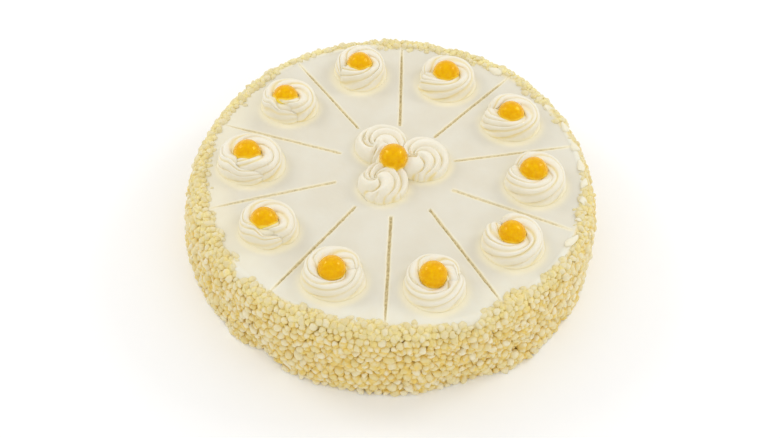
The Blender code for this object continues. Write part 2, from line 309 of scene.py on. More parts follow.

# %% [markdown]
# ## Icing
# The icing is spread cream with a soft sheen. It isn't pure white but a warm ivory, and a mark
# pressed into it shows tan crumb with darker specks. Down the side the same mesh is the yellow bed
# that shows between the nuggets: the yellow of crumbs, deepened with painted shade between them. One
# material can do it all, because the mesh says how much of each there is: `cut` in the portion
# marks, `bed` under the nuggets, `outer` for painted light, which makes the icing paler towards the
# front rim and on the shoulder against the shade of the nuggets, and `glow` for the warm light by the
# cream, the cuts and the left rim.

# %% Icing material
icing, tree, shader = food_material(
    "icing", roughness=0.5, specular=0.35, sss=0.2, sss_radius_mm=2.0,
    bump_mm=0.25, broad_mm=14.0, fine_mm=2.5, fine_share=0.25)
spread_icing = drifting(tree, (226, 221, 205), (222, 215, 196), 22.0, 0.8)
# Painted light: paler icing towards the front rim and all round the shoulder and side, lifting the shade of
# the nuggets
outer_icing = drifting(tree, (235, 232, 216), (232, 226, 206), 12.0, 0.8)
crumb = drifting(tree, (232, 217, 172), (190, 171, 118), 1.6, 0.9)
# The bed is the yellow of crumbs, deepened as painted shade between the nuggets
bedding = drifting(tree, (240, 218, 146), (230, 202, 116), 3.0, 0.9)
colour = layered(tree, spread_icing, ("outer", outer_icing), ("glow", (249, 240, 208)),
                 ("bed", bedding), ("cut", crumb))
link(tree, colour, shader.inputs["Base Color"])
print("material:", icing.name)

# %% [markdown]
# ## Portion marks
# A marker with ten blades was pressed on the cake. Its lines are straight but none runs exactly
# through the middle, so each is written as two points, at the rim and at its blunt inner end. The
# bearing of such a line changes with the radius by one formula. The top can then be a round grid
# whose columns bend to run along the marks, closer together there, so that the grooves are real.

# %% Where the marks run
ICING_TOP = 56.0 * MM
MARK_RIM = 117.0 * MM
# Bearing at the rim, bearing and radius of the inner end, width in mm, share of full depth
MARKS = (
    (14.9, 18.9, 41.9, 1.2, 0.55), (50.9, 52.2, 43.5, 1.3, 0.9), (88.4, 85.1, 44.2, 1.3, 1.0),
    (123.8, 120.5, 46.3, 1.1, 0.75), (160.9, 153.7, 37.9, 1.3, 0.5), (197.2, 193.4, 36.8, 1.3, 0.5),
    (234.7, 232.2, 36.4, 1.3, 1.0), (269.5, 270.2, 35.8, 1.4, 1.0), (304.2, 309.8, 37.6, 1.3, 1.0),
    (339.8, 343.3, 40.0, 1.5, 0.45),
)


def on_plan(radius, bearing_deg):
    """A point on the plan."""
    return np.array([math.cos(math.radians(bearing_deg)), math.sin(math.radians(bearing_deg))]) * radius


mark_heading = []
mark_aside = []
for rim_bearing, inner_bearing, inner_mm, _, _ in MARKS:
    inner = on_plan(inner_mm * MM, inner_bearing)
    along = on_plan(MARK_RIM, rim_bearing) - inner
    along /= np.linalg.norm(along)
    mark_heading.append(math.atan2(along[1], along[0]) % math.tau)
    mark_aside.append(inner @ np.array([-along[1], along[0]]))
mark_heading = np.array(mark_heading)
mark_aside = np.array(mark_aside)
mark_inner = np.array([mark[2] for mark in MARKS]) * MM
mark_width = np.array([mark[3] for mark in MARKS]) * MM
mark_depth = np.array([mark[4] for mark in MARKS])
print("marks pass the axis by, in mm:", np.round(mark_aside / MM, 1))

# %% Where the cream stands
# Radius and bearing of each rosette's middle and its half widths in x and y, in mm
ROSETTE_PLACES = (
    (90.8, 33.2, 20.0, 19.2), (90.9, 68.1, 20.2, 19.4), (94.0, 105.0, 18.2, 19.2),
    (89.8, 140.6, 19.2, 17.8), (89.8, 178.0, 22.0, 19.7), (89.2, 214.0, 18.9, 17.6),
    (91.9, 249.4, 20.0, 18.8), (94.2, 287.0, 19.4, 19.4), (92.8, 323.2, 19.8, 19.4),
    (90.1, 357.7, 20.0, 20.4),
)
# Middle and half widths of the three swirls, in mm
SWIRL_PLACES = ((-7.1, 23.0, 17.8, 17.2), (19.4, 11.6, 18.0, 18.2), (-5.4, -10.7, 16.2, 16.0))
feet = [(*on_plan(place[0], place[1]), *place[2:]) for place in ROSETTE_PLACES] + list(SWIRL_PLACES)
GLOW_REACH_MM = 2.6


def glow_beside_cream(points):
    """How much warm light each point of the icing gets from the foot of the nearest cream."""
    glow = np.zeros(len(points))
    for x, y, half_x, half_y in feet:
        across, along = (points[:, 0] / MM - x) / half_x, (points[:, 1] / MM - y) / half_y
        beside = np.maximum(np.hypot(across, along) - 1, 0) * half_x
        in_front = 0.3 + 0.7 * ease(0.5 - 0.7 * along)
        glow = np.maximum(glow, in_front * hill(beside, GLOW_REACH_MM))
    return glow


print("cream stands at", len(feet), "places")

# %% Columns that follow the marks
ONE_SIDE_MM = np.array([0.35, 0.6, 0.8, 1.0, 1.25, 1.7, 2.4, 3.6])
ACROSS_MM = np.concatenate([-ONE_SIDE_MM[::-1], [0.0], ONE_SIDE_MM])
BETWEEN = 24
COLUMNS = len(MARKS) * (len(ACROSS_MM) + BETWEEN)
LEAST_RADIUS = 33.0 * MM


def grid_bearings(radius):
    """Bearing of every column at a radius."""
    reach = max(radius, LEAST_RADIUS)
    lines = mark_heading + np.arcsin(mark_aside / reach)
    beside = lines[:, None] + ACROSS_MM[None, :] * MM / reach
    start = beside[:, -1:]
    stop = np.roll(beside[:, :1], -1, axis=0)
    stop[-1] += math.tau
    between = start + (stop - start) * (np.arange(1, BETWEEN + 1) / (BETWEEN + 1))
    return np.concatenate([beside, between], axis=1)


print("columns:", COLUMNS)

# %% [markdown]
# ## The iced cake
# The grid starts at the axis, runs out over the flat top, rounds the shoulder and goes down the
# side under the nuggets to the flat foot. Grooves are pressed in as the points are placed: the
# depth falls off sharply at the groove's wandering edges, and the icing beside it is pushed up into
# a low lip. The palette knife left shallow waves, which are real height too.

# %% Groove, lip and waves
GROOVE_DEPTH = 1.3 * MM
GROOVE_WALL = 0.6 * MM
# Where the grooves begin to narrow and to grow shallow, on their way out to the rim
NARROW_FROM = 98.0 * MM
SHALLOW_FROM = 106.0 * MM
WANDER = 0.35
WANDER_SIZE = 2.2 * MM
LIP = 0.3 * MM
LIP_OFF = 0.45 * MM
LIP_WIDTH = 0.4 * MM
WARM_REACH = 0.9 * MM
# Height and size of the waves in mm, and the seed of their noise
WAVES = ((0.35, 55, 1), (0.16, 13, 2))
# Each column's distance from its mark. The columns between two marks count as far away.
aside = np.tile(np.concatenate([ACROSS_MM * MM, np.full(BETWEEN, 99.0 * MM)]), (len(MARKS), 1))


def pressed(radius, points):
    """Height change, cut mark and warm light beside the cut, at one ring of points."""
    short = np.maximum(mark_inner - radius, 0.0)[:, None]
    apart = np.hypot(aside, short * 1.3)
    wander = rough(points, WANDER_SIZE, 3).reshape(aside.shape)
    fading = np.interp(radius, (0.0, NARROW_FROM, MARK_RIM), (1.0, 1.0, 0.62))
    half = 0.62 * mark_width[:, None] * fading * (1 + WANDER * wander)
    inside = ease((half + 0.25 * MM - apart) / GROOVE_WALL)
    lip = hill(apart - half - LIP_OFF, LIP_WIDTH) * (1 - inside)
    strength = mark_depth[:, None] * np.interp(radius, (0.0, SHALLOW_FROM, MARK_RIM), (1.0, 1.0, 0.2))
    change = (LIP * lip - GROOVE_DEPTH * inside) * strength
    warm = 0.6 * hill(np.maximum(apart - half, 0), WARM_REACH)
    return change.ravel(), (inside * np.minimum(1.0, 1.6 * strength)).ravel(), warm.ravel()


def iced_ring(radius):
    """One ring of the flat top: its points, its cut mark and the warm light beside the cuts."""
    bearings = grid_bearings(radius).ravel()
    ring = np.column_stack([radius * directions(bearings), np.full(COLUMNS, ICING_TOP)])
    change, cut, warm = pressed(radius, ring)
    for high, size, seed in WAVES:
        change = change + high * MM * rough(ring, size * MM, seed)
    ring[:, 2] += change
    return ring, cut, warm


print("groove depth in mm:", GROOVE_DEPTH / MM)

# %% Where the nuggets stop
# Radius in mm at each half portion, from +X round, then single thin spots and clumps:
# bearing, half width in degrees, millimetres outwards
EDGE_MM = np.array([119, 118.5, 118, 118.5, 118, 116.5, 119, 119, 117, 116.5,
                    115.5, 116, 117, 118.5, 117.5, 116.5, 119, 117, 119, 118.5])
SINGLE_SPOTS = (
    (11, 8, 2.5), (24, 3, -1.5), (58, 4, -2), (100, 3, 5), (148, 4, -1.5), (188, 5, -2), (208, 3, -3),
    (224, 3, 7), (248, 3, -3), (266, 4, -2), (293, 6, 6.5), (308, 5, -2), (316, 3, 5), (332, 7, 3.5),
    (348, 4, -2),
)


def nugget_edge(bearing):
    """Radius at which the nuggets stop, at each bearing in radians."""
    degrees = np.degrees(bearing) % 360
    step = degrees / 18
    low = np.floor(step).astype(int)
    blend = ease(step - low)
    edge = EDGE_MM[low % 20] * (1 - blend) + EDGE_MM[(low + 1) % 20] * blend
    for middle, half, outwards in SINGLE_SPOTS:
        edge = edge + outwards * hill(degrees_off(degrees, middle), half)
    return edge * MM


print("nuggets stop at, in mm:", np.round(nugget_edge(np.radians([0, 90, 180, 270])) / MM, 1))

# %% Where the coat is thick or thin
# Bearing and half width in degrees, height and half height in mm, millimetres outwards
BULGES = (
    (11, 19, 50, 8, -4.0), (163, 25, 50, 8, -3.8), (193, 9, 18, 16, 3.0), (350, 7, 30, 12, 1.4),
    (310, 9, 4, 12, 2.8), (333, 7, 4, 10, 1.4), (292, 9, 4, 9, -3.6), (234, 6, 4, 9, -5.0),
    (265, 34, 2, 8, -0.8), (53, 6, 54, 8, 1.8), (92, 8, 56, 8, 1.8),
)


def bulge(bearing, height):
    """How much further out the coat stands than usual, at each bearing in radians and height."""
    total = 0.0
    for middle, half, level, half_level, outwards in BULGES:
        apart = degrees_off(np.degrees(bearing), middle)
        total = total + outwards * np.exp(-(apart / half) ** 2 - ((height / MM - level) / half_level) ** 2)
    return total * MM


print("coat on the left stands out by, in mm:", round(bulge(math.radians(193), 18 * MM) / MM, 1))

# %% Rings of the top
BED_RADIUS = 125.3 * MM
FLAT_RADIUS = 118.0 * MM
radii = np.concatenate([(3, 8, 13, 18, 23, 27, 30, 32), np.arange(33.5, 48, 0.8),
                        np.arange(48.5, 117.9, 1.0), [118]]) * MM
rings = []
marks = {"cut": [], "bed": [], "outer": [], "glow": []}


def add_ring(ring, **values):
    """Keep one ring of points and its marks. A mark may be one number for the whole ring."""
    rings.append(ring)
    for mark, value in values.items():
        marks[mark].append(np.broadcast_to(value, COLUMNS))


# The bed deepens under the nuggets with painted shade, painted light makes the front rim paler, and the left
# rim takes some warm light
for radius in radii:
    ring, cut, warm = iced_ring(radius)
    bearings = grid_bearings(radius).ravel()
    past_edge = radius - nugget_edge(bearings)
    on_left = ease((-np.cos(bearings) - 0.6) / 0.3) * ease((radius - 95 * MM) / (15 * MM))
    add_ring(ring, cut=cut, glow=np.maximum(warm, 0.35 * on_left),
             bed=0.15 * ease(past_edge / (2.5 * MM)) + 0.5 * ease((past_edge - 2.5 * MM) / (3.0 * MM)),
             outer=ease((-np.sin(bearings) - 0.2) / 0.8) * ease((radius - 98 * MM) / (16 * MM)))
print("rings on the top:", len(rings))

# %% The shoulder, the side and the whole mesh
# Height where the shoulder begins, and how much fuller it is than a quarter of an ellipse
SHOULDER_HEIGHT = 44.5 * MM
SHOULDER_FULL = 2.2 * MM
rim = rings[-1]
rim_cut = marks["cut"][-1]
rim_bearing = np.arctan2(rim[:, 1], rim[:, 0])
rim_plan = directions(rim_bearing)
# On the shoulder and down the side the icing takes all of the painted light, and the bed its crumb yellow
# with painted shade
for turn in np.radians((12, 25, 40, 55, 72, 90)):
    full = SHOULDER_FULL * math.sin(2 * turn)
    height = SHOULDER_HEIGHT + (rim[:, 2] - SHOULDER_HEIGHT + full) * math.cos(turn)
    wide = FLAT_RADIUS + (BED_RADIUS - FLAT_RADIUS + full + bulge(rim_bearing, height)) * math.sin(turn)
    covered = np.maximum(ease((wide - nugget_edge(rim_bearing)) / (2.5 * MM)), ease((turn - 0.6) / 0.6))
    add_ring(np.column_stack([rim_plan * wide[:, None], height]),
             cut=rim_cut * math.cos(turn), bed=covered * min(1.0, 0.4 + turn), outer=1.0, glow=0.0)
for height_mm in (33, 22, 11, 0.1):
    wide = BED_RADIUS + bulge(rim_bearing, height_mm * MM)
    add_ring(np.column_stack([rim_plan * wide[:, None], np.full(COLUMNS, height_mm * MM)]),
             cut=0.0, bed=1.0, outer=1.0, glow=0.0)
count = len(rings) * COLUMNS
points = np.concatenate(rings + [[[0, 0, ICING_TOP]], [[0, 0, 0.1 * MM]]])
faces = [ring_faces(len(rings), COLUMNS)[:, ::-1], fan_faces(count, np.arange(COLUMNS)),
         fan_faces(count + 1, np.arange(count - COLUMNS, count)[::-1])]
marks = {name: np.concatenate(values + [[0, values[-1][0]]]) for name, values in marks.items()}
marks["glow"] = np.maximum(marks["glow"], 0.75 * glow_beside_cream(points))
iced_cake = mesh_piece("iced_cake", points, faces, icing, **marks)
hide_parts("cake")
print("iced cake:", triangles(iced_cake), "triangles")

# %% [markdown]
# ## Nuggets
# Thousands of pieces of white chocolate crunch cover the side and creep over the rim. Some are
# rounded and some broken, all a little different, 4 to 6 mm across, and they overlap in depth: one
# layer shows between the nuggets of the other. A bump texture can't give that outline, so each one
# is real. They start in rows, are pushed about, and then push each other apart until they lie
# evenly without any rows left.

# %% Nugget material
nugget_coat, tree, shader = food_material(
    "nugget_coat", roughness=0.5, specular=0.25, sss=0.35, sss_radius_mm=1.4,
    bump_mm=0.35, broad_mm=2.0, fine_mm=0.7, fine_share=0.45)
pale = drifting(tree, (236, 226, 195), (229, 217, 172), 2.5, 0.7)
yellow = drifting(tree, (229, 213, 157), (224, 203, 133), 2.5, 0.7)
on_side = layered(tree, yellow, ("tint", pale))
# High on the rim, most of all at the back, the nuggets are drawn in other colours, and their painted crevice
# and deep shade is paler, painted light against the shade between them
on_rim = layered(tree, (224, 208, 155), ("tint", (230, 219, 182)))
# Painted shade: deeper golden yellow where nuggets touch one another
contact = layered(tree, (234, 202, 102), ("rim", (248, 233, 166)))
# Painted shade: deep yellow on the low side of each nugget, near the bed
depth = layered(tree, (228, 188, 72), ("rim", (250, 231, 152)))
colour = layered(tree, on_side, ("rim", on_rim), ("crevice", contact), ("deep", depth))
link(tree, colour, shader.inputs["Base Color"])
print("material:", nugget_coat.name)

# %% The path up the side and over the shoulder
COAT_SIDE = 128.2 * MM
COAT_SHOULDER = 120.8 * MM
COAT_TOP = 56.7 * MM
turn = np.linspace(0, math.pi / 2, 24)
wide, high = COAT_SIDE - COAT_SHOULDER, COAT_TOP - SHOULDER_HEIGHT
path_radius = np.concatenate([[COAT_SIDE], COAT_SHOULDER + wide * np.cos(turn), [COAT_SHOULDER - 30 * MM]])
path_height = np.concatenate([[0.0], SHOULDER_HEIGHT + high * np.sin(turn), [COAT_TOP]])
path_lean = np.concatenate([[0.0], np.arctan2(np.sin(turn) / high, np.cos(turn) / wide), [math.pi / 2]])
path_climb = np.concatenate([[0.0], np.cumsum(np.hypot(np.diff(path_radius), np.diff(path_height)))])
SHOULDER_CLIMB = path_climb[-2]


def on_coat(climb, bearing):
    """Points of the path, and the directions out of the coat and up along it."""
    height = np.interp(climb, path_climb, path_height)
    radius = np.interp(climb, path_climb, path_radius) + bulge(bearing, height)
    lean = np.interp(climb, path_climb, path_lean)
    plan = directions(bearing)
    spots = np.column_stack([plan * radius[:, None], height])
    outward = np.column_stack([plan * np.cos(lean)[:, None], np.sin(lean)])
    upward = np.column_stack([-plan * np.sin(lean)[:, None], np.cos(lean)])
    return spots, outward, upward, radius


print("from the foot to the inner end of the shoulder, in mm:", round(SHOULDER_CLIMB / MM, 1))

# %% How nuggets are spread
PUSHES = 7
MARK_CLEAR = 1.6 * MM


def spread(low, high, spacing, taller, rng):
    """Climb and bearing of nuggets this far apart round the cake, and taller times as far up it."""
    row = 0.866 * spacing * taller
    bearings = []
    climbs = []
    height = low
    while height < high:
        around = round(math.tau * np.interp(height, path_climb, path_radius) / spacing)
        places = np.arange(around) + 0.5 * (len(climbs) % 2) + rng.uniform(-0.4, 0.4, around)
        bearings.append(places / around * math.tau)
        climbs.append(height + rng.uniform(-0.35, 0.35, around) * row)
        height += row
    climb = np.concatenate(climbs)
    bearing = np.concatenate(bearings)
    for _ in range(PUSHES):
        spots, _, upward, radius = on_coat(climb, bearing)
        spots[:, 2] /= taller
        near = finder(spots)
        push = np.zeros_like(spots)
        for index, spot in enumerate(spots):
            for _, other, apart in near.find_range(spot, spacing):
                if other != index and apart > 0:
                    push[index] += (spot - spots[other]) / apart * (spacing - apart) * 0.3
        sideways = np.column_stack([-np.sin(bearing), np.cos(bearing), np.zeros(len(bearing))])
        climb = np.maximum(climb + np.sum(push * upward, axis=1), low)
        bearing = bearing + np.sum(push * sideways, axis=1) / radius
    return climb, bearing


def trimmed(climb, bearing, least_mm, most_mm, rng):
    """Leave out nuggets past the edge of the icing, give or take, and those on a mark."""
    stay = climb < edge_climb(bearing) + rng.uniform(least_mm, most_mm, len(climb)) * MM
    radius = on_coat(climb, bearing)[3]
    for heading, aside in zip(mark_heading, mark_aside):
        line = heading + np.arcsin(aside / radius)
        off = np.abs((bearing - line + math.pi) % math.tau - math.pi) * radius
        stay &= ~((off < MARK_CLEAR) & (climb > SHOULDER_CLIMB - 2.0 * MM))
    return climb[stay], bearing[stay]


def edge_climb(bearing):
    """How far up the path the nuggets reach."""
    return SHOULDER_CLIMB + COAT_SHOULDER + bulge(bearing, COAT_TOP) - nugget_edge(bearing)


print("pushes apart:", PUSHES)

# %% Spread the nuggets
# Climb of the lowest nuggets, of the first small ones of the rim, and of the last ones spread
LOWEST = 2.3 * MM
RIM_FROM = 46.3 * MM
COVERED = 76.0 * MM
CRUMBS = 110
rng = np.random.default_rng(7)
side_climb, side_bearing = spread(LOWEST, RIM_FROM, 5.4 * MM, 1.2, rng)
rim_climb, rim_bearing = spread(RIM_FROM, COVERED, 4.2 * MM, 1.0, rng)
outer_climb = np.concatenate([side_climb, rim_climb])
outer_bearing = np.concatenate([side_bearing, rim_bearing])
outer_climb, outer_bearing = trimmed(outer_climb, outer_bearing, -2.2, 1.4, rng)
under_climb, under_bearing = trimmed(*spread(LOWEST, COVERED, 5.0 * MM, 1.0, rng), -2.5, 0.8, rng)
crumb_bearing = rng.uniform(0, math.tau, CRUMBS)
crumb_climb = edge_climb(crumb_bearing) + rng.uniform(-3.0, 0.8, CRUMBS) * MM
print("nuggets underneath:", len(under_climb), "outer:", len(outer_climb), "crumbs:", CRUMBS)

# %% Three shapes of nugget
def quad_ball(cuts):
    """A ball of even quads, made from a cube."""
    bm = bmesh.new()
    bmesh.ops.create_cube(bm, size=2.0)
    bmesh.ops.subdivide_edges(bm, edges=bm.edges, cuts=cuts, use_grid_fill=True)
    points = np.array([vert.co.normalized() for vert in bm.verts])
    faces = np.array([[vert.index for vert in face.verts] for face in bm.faces])
    bm.free()
    return points, faces


def flattened(shape, sides, nearest, rng):
    """Press some flat sides on a shape, each at least this near the middle."""
    for _ in range(sides):
        side = rng.normal(size=3)
        side /= np.linalg.norm(side)
        over = np.maximum(shape @ side - rng.uniform(nearest, nearest + 0.2), 0)
        shape = shape - 0.8 * over[:, None] * side
    return shape


def lumpy(shape, ball, amount, size, rng):
    """The same shape with soft bulges."""
    return shape * (1 + amount * rough(ball, size, rng.uniform(0, 50)))[:, None]


def pearl(ball, rng):
    """A rounded nugget with soft bulges and a few flatter sides."""
    shape = flattened(ball * rng.uniform(0.92, 1.12, 3), 4, 0.72, rng)
    return lumpy(shape, ball, 0.2, 0.9, rng)


def bean(ball, rng):
    """A longer nugget, bent and thinner at one end."""
    shape = ball * np.array([1.35, 0.92, 0.84])
    shape[:, 1:] *= 1 - 0.2 * shape[:, :1]
    shape[:, 2] += 0.2 * shape[:, 0] ** 2
    return lumpy(flattened(shape, 3, 0.7, rng), ball, 0.18, 0.9, rng)


def chip(ball, rng):
    """A broken nugget, mostly flat sides."""
    shape = flattened(ball * rng.uniform(1.0, 1.25, 3), 8, 0.55, rng)
    return lumpy(shape, ball, 0.1, 0.8, rng)


print("quads in a nugget:", len(quad_ball(3)[1]))

# %% Where every nugget's middle is
# Where a nugget touches others a golden line of painted crevice shade goes on it, so all the middles
# are needed before the first one is made.
COAT_REACH = 130.85 * MM
SIDE_RADIUS = 3.0 * MM
RIM_RADIUS = 2.4 * MM
RIM_SUNK = 0.45 * MM
UNDER_LIFT = -1.5 * MM
JITTER = 0.6 * MM
EDGE_SUNK = 1.8 * MM
EDGE_ZONE = 5.0 * MM
CLUMP_RISE = 2.1 * MM
CLUMP_SIZE = 11.0 * MM


def placed(climb, bearing, lift, size, rng):
    """Middle of each nugget, its direction out of the coat and its radius.

    On the rim they are smaller. They stand out in clumps, and those next to the icing sink into it.
    """
    on_rim = ease((climb - 40 * MM) / (14 * MM))
    usual = SIDE_RADIUS + (RIM_RADIUS - SIDE_RADIUS) * on_rim
    sizes = usual * size * np.clip(rng.normal(1.0, 0.15, len(climb)), 0.7, 1.3)
    lifts = lift * (1 - 0.6 * on_rim) - RIM_SUNK * on_rim
    lifts = lifts + rng.normal(0, JITTER, len(climb)) * (1 - 0.4 * on_rim)
    spots, outward, _, _ = on_coat(climb, bearing)
    sunk = EDGE_SUNK * ease(1 - (edge_climb(bearing) - climb) / EDGE_ZONE)
    clumps = CLUMP_RISE * (1 - 0.5 * on_rim) * rough(spots, CLUMP_SIZE, 8)
    spots = spots + outward * (lifts + clumps - sunk)[:, None]
    reach = np.hypot(spots[:, 0], spots[:, 1])
    furthest = COAT_REACH + 0.4 * MM + bulge(bearing, spots[:, 2]) - 0.9 * sizes
    spots[:, :2] *= (np.minimum(reach, furthest) / reach)[:, None]
    return spots, outward, sizes


under_layer = placed(under_climb, under_bearing, UNDER_LIFT, 1.05, rng)
outer_layer = placed(outer_climb, outer_bearing, 0.0, 1.0, rng)
all_spots = np.concatenate([under_layer[0], outer_layer[0]])
all_sizes = np.concatenate([under_layer[2], outer_layer[2]])
neighbours = finder(all_spots)
print("middles:", len(all_spots))

# %% How one kind of nugget is made
CREVICE = 1.1 * MM
NEIGHBOURS = 9
PATTERNS = 24
# From the bed to the path of the coat, and how far up from the bed the painted deep shade reaches
BED_TO_PATH = 2.9 * MM
DEEP = 3.0 * MM


def random_turns(count, rng):
    """Turns in every direction, as matrices."""
    quaternions = rng.normal(size=(4, count))
    w, x, y, z = quaternions / np.linalg.norm(quaternions, axis=0)
    rows = (1 - 2 * (y * y + z * z), 2 * (x * y - z * w), 2 * (x * z + y * w),
            2 * (x * y + z * w), 1 - 2 * (x * x + z * z), 2 * (y * z - x * w),
            2 * (x * z - y * w), 2 * (y * z + x * w), 1 - 2 * (x * x + y * y))
    return np.stack(rows, axis=1).reshape(count, 3, 3)


def crevices(grains, spots):
    """How near each point of each nugget is to another nugget, 1 where they touch: the mask of the painted
    crevice shade.
    """
    found = [neighbours.find_n(spot, NEIGHBOURS + 1) for spot in spots]
    others = [[index for _, index, apart in near if apart > 0.01 * MM][:NEIGHBOURS] for near in found]
    near = np.ones(grains.shape[:2])
    for column in np.array(others).T:
        to_middle = np.linalg.norm(grains - all_spots[column][:, None, :], axis=2)
        near = np.minimum(near, (to_middle - 0.92 * all_sizes[column][:, None]) / CREVICE)
    return ease(1 - near)


def scatter(name, shape, cuts, layer, rng):
    """All the nuggets of one kind, as one mesh."""
    spots, outward, sizes = layer
    ball, ball_faces = quad_ball(cuts)
    count = len(spots)
    patterns = np.array([shape(ball, rng) for _ in range(PATTERNS)])[rng.integers(0, PATTERNS, count)]
    grains = np.einsum("nij,nvj->nvi", random_turns(count, rng), patterns) * sizes[:, None, None]
    rise = np.einsum("nvi,ni->nv", grains, outward) + BED_TO_PATH
    grains += spots[:, None, :]
    for axis in (0, 1):
        too_far = np.maximum(np.abs(grains[..., axis]).max(axis=1) - COAT_REACH, 0)
        grains[..., axis] -= (np.sign(spots[:, axis]) * too_far)[:, None]
    grains[..., 2] = np.maximum(grains[..., 2], 0.05 * MM)
    # Icing smeared on those next to it makes them paler and fills their crevices, so less crevice and deep
    # shade is painted on them
    reach = np.hypot(spots[:, 0], spots[:, 1])
    past_edge = reach - nugget_edge(np.arctan2(spots[:, 1], spots[:, 0]))
    iced = 0.5 * ease(1 - past_edge / EDGE_ZONE) * (spots[:, 2] > SHOULDER_HEIGHT)
    clean = 0.9 * (1 - 0.7 * iced[:, None])
    tint = np.repeat(np.maximum(np.clip(rng.normal(0.58, 0.42, count), 0, 1), iced), len(ball))
    # The low side of each nugget, near the bed, is painted deep yellow as shade
    deep = clean * ease((DEEP - rise) / DEEP)
    # How high on the rim a nugget is, which pales the painted shade there
    rim = ease((grains[..., 2] - 47 * MM) / (8 * MM)) * (0.7 + 0.3 * ease(grains[..., 1] / (90 * MM)))
    crevice = clean * crevices(grains, spots)
    piece = mesh_piece(name, grains.reshape(-1, 3), [copies(ball_faces, len(ball), count)], nugget_coat,
                       tint=tint, deep=deep.ravel(), crevice=crevice.ravel(), rim=rim.ravel())
    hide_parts("cake")
    print(name, count, "nuggets,", triangles(piece), "triangles")


print("neighbours looked at for each nugget:", NEIGHBOURS)

# %% Place every nugget
# Name, shape and share of each kind of the outer layer. One mesh for each keeps them all small.
KINDS = (("nuggets_round", pearl, 0.14), ("nuggets_plump", pearl, 0.2),
         ("nuggets_long", bean, 0.24), ("nuggets_broken", chip, 0.42))
scatter("nuggets_under", pearl, 1, under_layer, rng)
kind = rng.choice(len(KINDS), len(outer_climb), p=[share for _, _, share in KINDS])
for number, (name, shape, _) in enumerate(KINDS):
    scatter(name, shape, 3, [part[kind == number] for part in outer_layer], rng)
scatter("nugget_crumbs", chip, 2, placed(crumb_climb, crumb_bearing, 0.6 * MM, 0.6, rng), rng)

# %% [markdown]
# ## Icing over the edge
# On the right the palette knife pushed some icing out over the nuggets. It lies among them as
# smooth pale lumps, longer than they are wide, so these are a few larger beans made of icing.

# %% Lumps of icing
# Bearing in degrees, radius, length and width in mm, turn away from the rim in degrees
LUMPS = (
    (335.6, 121.2, 13, 5.2, -17), (345, 121.0, 8, 5, -15), (352, 120.5, 9, 5, 10),
    (359, 121.0, 10, 5, -8), (6, 120.5, 11, 5, 0), (14, 120.5, 9, 5, 12),
    (23, 121.0, 9, 5, -6), (33, 120.0, 8, 5, 0), (56, 119.5, 11, 6, 0),
)
LUMP_THICK = 2.6 * MM
LUMP_LEVEL = COAT_TOP - 0.9 * MM
# Length and width of a bean, which each lump is stretched from
BEAN_LONG, BEAN_WIDE = 2.7, 1.9
ball, ball_faces = quad_ball(7)
lumps = []
for bearing_deg, radius_mm, length_mm, width_mm, aside_deg in LUMPS:
    shape = bean(ball, rng) * np.array([length_mm / BEAN_LONG, width_mm / BEAN_WIDE, LUMP_THICK / MM]) * MM
    along = on_plan(1.0, bearing_deg + 90 + aside_deg)
    plan = shape[:, :1] * along + shape[:, 1:2] * np.array([-along[1], along[0]])
    lumps.append(np.column_stack([plan + on_plan(radius_mm * MM, bearing_deg), shape[:, 2] + LUMP_LEVEL]))
faces = copies(ball_faces, len(ball), len(LUMPS))
lumps = np.concatenate(lumps)
# The lumps take half the paler icing and some warm glow: painted light on faces that would lie in shade
outer, glow = np.full(len(lumps), 0.5), np.full(len(lumps), 0.4)
piece = mesh_piece("icing_lumps", lumps, [faces], icing, outer=outer, glow=glow)
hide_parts("cake")
print("icing lumps:", len(LUMPS), "of", triangles(piece) // len(LUMPS), "triangles each")

# %% [markdown]
# ## Piped cream
# A rosette is one rope of cream from an open star nozzle. The nozzle keeps its direction in space
# while the hand goes round, so a ridge that starts at the outer foot climbs over the crest and ends
# at the inner wall: the strands close like an iris. The rope is modelled as it was piped, as a tube
# swept along its path for a little over one turn, so that the end really lies on the start. The
# columns of the tube follow the ridges, which keeps every crease sharp.

# %% Cream material
cream, tree, shader = food_material(
    "cream", roughness=0.55, specular=0.2, sss=0.25, sss_radius_mm=1.0,
    bump_mm=0.06, broad_mm=3.0, fine_mm=0.8, fine_share=0.2)
# The crease yellow below is painted shade; the warm foot and the golden cream by a ball are painted light
smooth_cream = drifting(tree, (240, 234, 217), (237, 230, 209), 9.0, 0.7)
colour = layered(tree, smooth_cream, ("foot", (247, 237, 200)), ("crease", (238, 221, 166)),
                 ("beside_ball", (251, 233, 172)))
link(tree, colour, shader.inputs["Base Color"])
print("material:", cream.name)

# %% A ridged rope along a path
RIDGES = 8
IN_RIDGE = np.array([-1.0, -0.85, -0.5, 0.0, 0.5, 0.85])
CREAM_BASE = ICING_TOP - 0.2 * MM
ridge_at = np.tile(IN_RIDGE, RIDGES)
nozzle_at = (np.repeat(np.arange(RIDGES), len(IN_RIDGE)) + ridge_at / 2) * math.tau / RIDGES
CREASE_DEPTH = 0.22
# Height of the rope's middle as a share of its crest, and how far its foot spreads
MIDDLE_SHARE = 0.42
FLARE = 0.36
# How quickly the unevenness of the ridges and of their width changes from step to step
WOBBLE_PACE = 0.045
WIDTH_PACE = 0.02


def rope_noise(steps, pace, seed):
    """Smooth noise for each step and each point round the rope."""
    round_rope = [(1.6 * math.cos(angle), 1.6 * math.sin(angle) + seed * 9) for angle in nozzle_at]
    return np.array([[noise.noise(Vector((step * pace, *place))) for place in round_rope]
                     for step in range(steps)])


